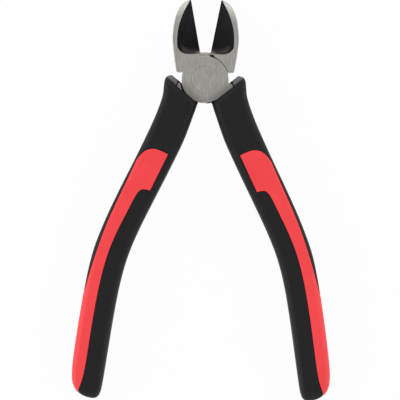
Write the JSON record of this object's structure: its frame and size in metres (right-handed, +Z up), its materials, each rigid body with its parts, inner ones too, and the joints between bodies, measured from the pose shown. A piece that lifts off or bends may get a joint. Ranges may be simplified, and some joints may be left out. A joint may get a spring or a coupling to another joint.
{
  "type": "diagonal cutter",
  "caption": "Diagonal cutting pliers with lapped steel levers on a rivet pivot, bevelled jaws that snip wire, and bent black soft grips with red inlays.",
  "frame": {"origin": "middle of the open tool's footprint, on the surface that it lies on", "axes": "+Y from the handles towards the jaw tips, +Z up out of the front face, along the pivot, +X to the right in the picture"},
  "size_m": [0.0992, 0.1538, 0.015],
  "materials": {
    "ground_steel": "satin ground steel, bevels blackened",
    "rivet_steel": "ground flush",
    "core_black": "moulded hard plastic",
    "shell_black": "matte soft moulding",
    "inlay_red": "satin soft moulding"
  },
  "bodies": {
    "front_half": {"front_lever": "ground_steel", "pivot_rivet": "rivet_steel", "right_grip_core": "core_black", "right_grip_shell": "shell_black", "right_grip_inlay": "inlay_red"},
    "rear_half": {"rear_lever": "ground_steel", "left_grip_core": "core_black", "left_grip_shell": "shell_black", "left_grip_inlay": "inlay_red"}
  },
  "joints": [
    {"name": "jaw_pivot", "type": "hinge", "parent": "front_half", "child": "rear_half", "pos_m": [0, 0.04609, 0.0075], "axis": [0, 0, 1], "range_deg": [-12.2, 21.4]}
  ]
}
